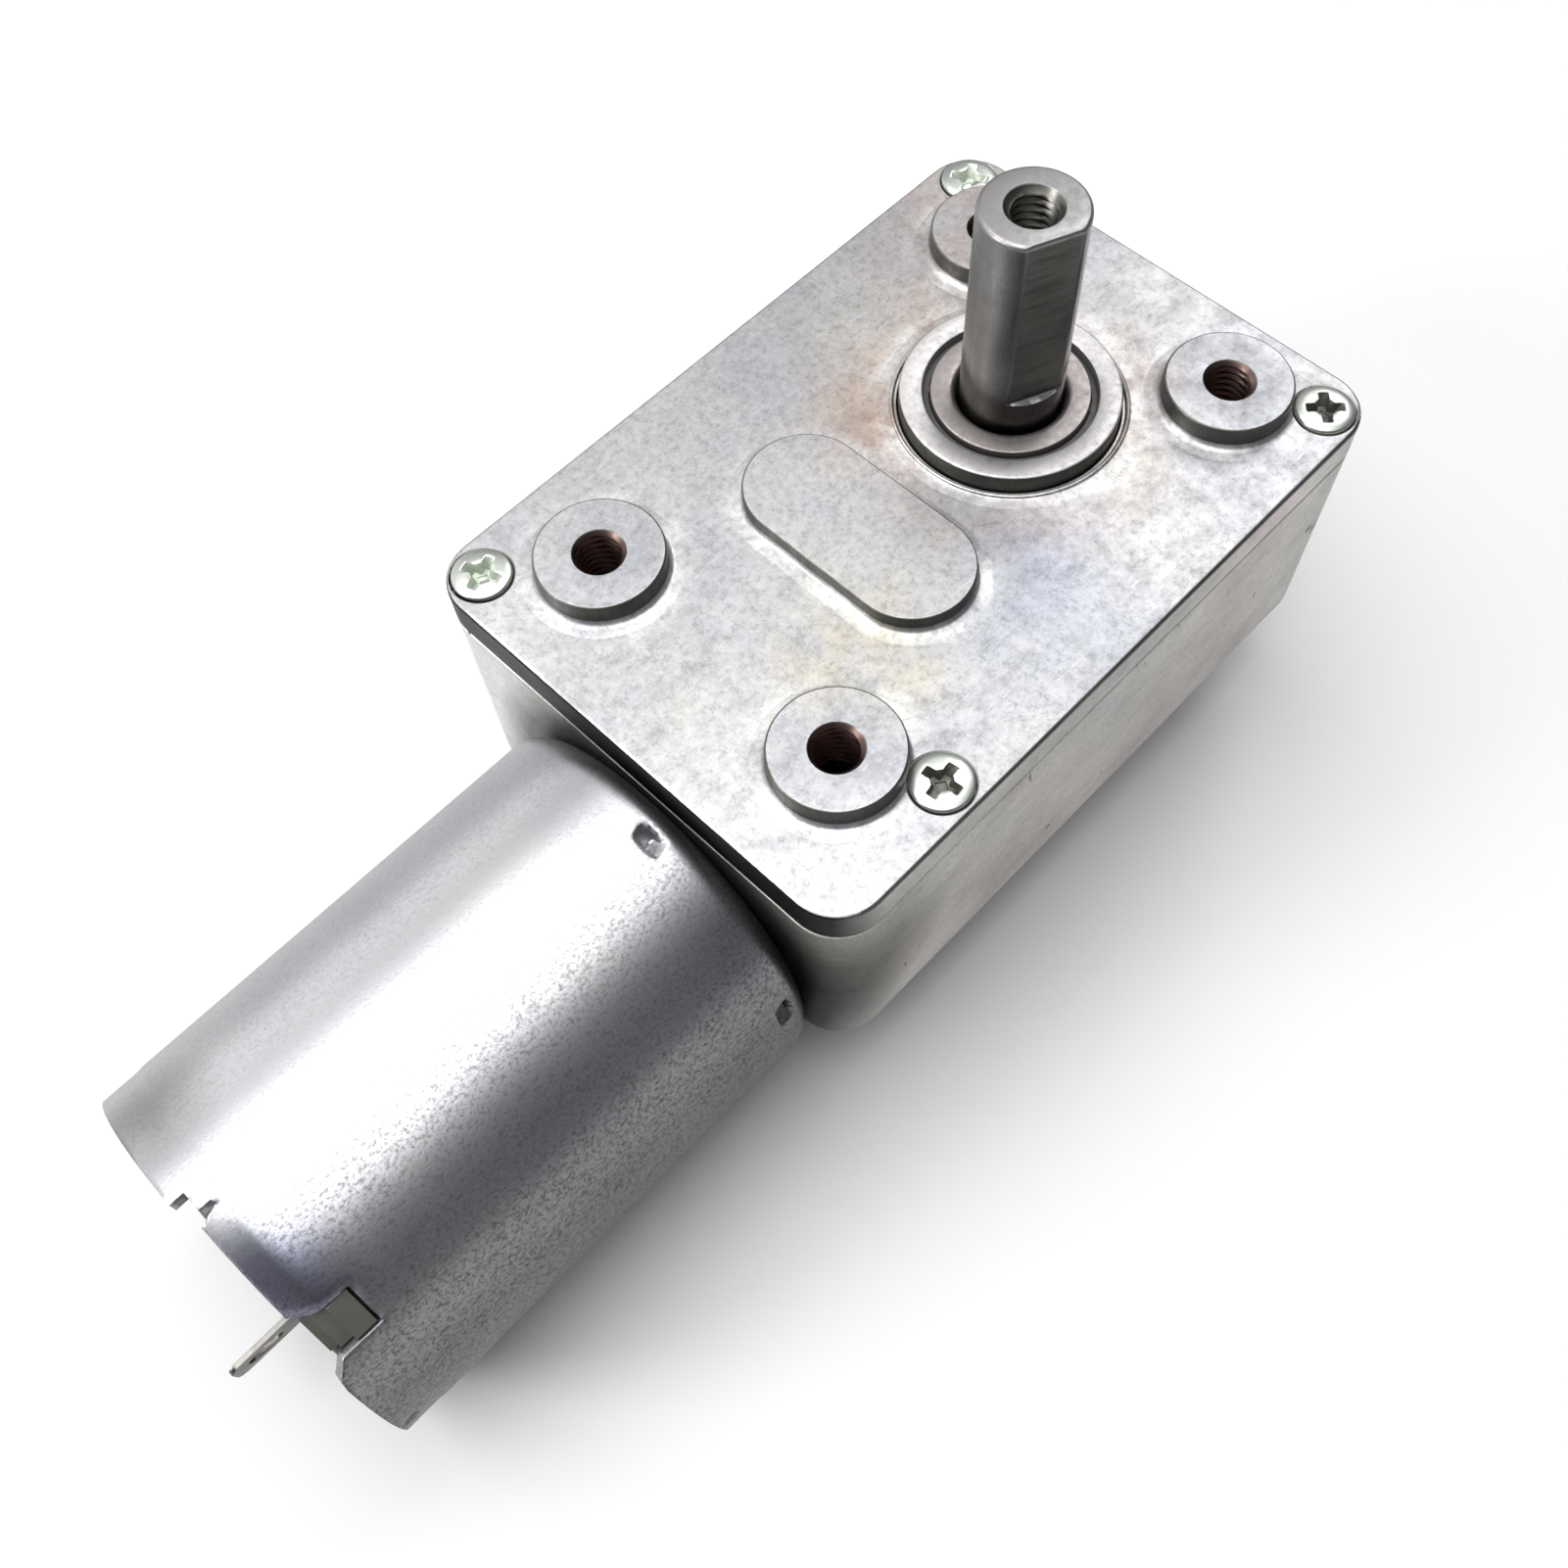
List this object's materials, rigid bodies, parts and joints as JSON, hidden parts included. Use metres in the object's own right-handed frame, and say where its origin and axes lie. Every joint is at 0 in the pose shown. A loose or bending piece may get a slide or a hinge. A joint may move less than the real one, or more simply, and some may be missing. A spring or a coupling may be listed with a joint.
{
  "type": "geared dc motor",
  "caption": "Right-angle geared DC motor: round can motor driving a worm and spur train in a flat die-cast box with a D-shaped output shaft and raised threaded mounting bosses",
  "frame": {"origin": "on the ground under the middle of the bounding box, level with the lowest line of the motor can", "axes": "+X runs along the box and the motor axis, away from the motor; +Z is the direction of the output shaft, square to the mounting bosses; +Y completes the right-handed set"},
  "size_m": [0.0804, 0.032, 0.0404],
  "materials": {
    "die_cast": "satin",
    "plated_steel": "satin",
    "zinc_screw": "satin",
    "shaft_steel": "satin",
    "bearing_steel": "polished",
    "gear_steel": "satin",
    "brass": "satin",
    "bronze": "matte",
    "ferrite": "matte",
    "lamination": "satin",
    "copper": "satin",
    "carbon": "matte",
    "olive_plastic": "matte",
    "pale_plastic": "matte"
  },
  "bodies": {
    "case": {"gearbox_housing": "die_cast", "gearbox_cover": "die_cast", "cover_screw_1": "zinc_screw", "cover_screw_2": "zinc_screw", "cover_screw_3": "zinc_screw", "cover_screw_4": "zinc_screw", "lower_bush": "bronze", "bearing_outer_ring": "bearing_steel", "arbor_pin_1": "shaft_steel", "arbor_pin_2": "shaft_steel", "spacer_sleeve": "brass", "wheel_washer": "zinc_screw", "motor_can": "plated_steel", "motor_screw_1": "zinc_screw", "motor_screw_2": "zinc_screw", "front_bush": "bronze", "rear_bush": "bronze", "magnet_1": "ferrite", "magnet_2": "ferrite", "magnet_spring": "zinc_screw", "end_cap": "olive_plastic", "terminal_1": "brass", "terminal_2": "brass", "brush_1": "carbon", "brush_2": "carbon"},
    "output": {"output_shaft": "shaft_steel", "output_gear": "gear_steel", "retaining_clip": "zinc_screw", "bearing_inner_ring": "bearing_steel"},
    "bearing_balls": {"bearing_cage": "brass", "bearing_ball_1": "bearing_steel", "bearing_ball_2": "bearing_steel", "bearing_ball_3": "bearing_steel", "bearing_ball_4": "bearing_steel", "bearing_ball_5": "bearing_steel", "bearing_ball_6": "bearing_steel", "bearing_ball_7": "bearing_steel", "bearing_ball_8": "bearing_steel"},
    "second_cluster": {"second_gear": "gear_steel", "second_pinion": "gear_steel"},
    "first_cluster": {"worm_wheel": "gear_steel", "first_pinion": "gear_steel"},
    "rotor": {"rotor_shaft": "shaft_steel", "worm": "brass", "armature_core": "lamination", "coil_1": "copper", "coil_2": "copper", "coil_3": "copper", "commutator_1": "copper", "commutator_2": "copper", "commutator_3": "copper", "commutator_sleeve": "pale_plastic", "rotor_washer": "pale_plastic"}
  },
  "joints": [
    {"name": "output_turn", "type": "hinge", "parent": "case", "child": "output", "pos_m": [0.02575, 0, 0.0256], "axis": [0, 0, 1], "continuous": true},
    {"name": "bearing_turn", "type": "hinge", "parent": "case", "child": "bearing_balls", "pos_m": [0.02575, 0, 0.0243], "axis": [0, 0, 1], "continuous": true},
    {"name": "second_turn", "type": "hinge", "parent": "case", "child": "second_cluster", "pos_m": [0.01311, -0.00503, 0.0181], "axis": [0, 0, 1], "continuous": true},
    {"name": "first_turn", "type": "hinge", "parent": "case", "child": "first_cluster", "pos_m": [0.01245, 0.0052, 0.0146], "axis": [0, 0, 1], "continuous": true},
    {"name": "rotor_turn", "type": "hinge", "parent": "case", "child": "rotor", "pos_m": [-0.01925, -0.0022, 0.012], "axis": [1, 0, 0], "continuous": true}
  ],
  "couplings": [
    {"joint": "bearing_turn", "follows": "output_turn", "ratio": 0.41837},
    {"joint": "second_turn", "follows": "output_turn", "ratio": -2.4},
    {"joint": "first_turn", "follows": "output_turn", "ratio": 5.8},
    {"joint": "rotor_turn", "follows": "output_turn", "ratio": -58}
  ]
}
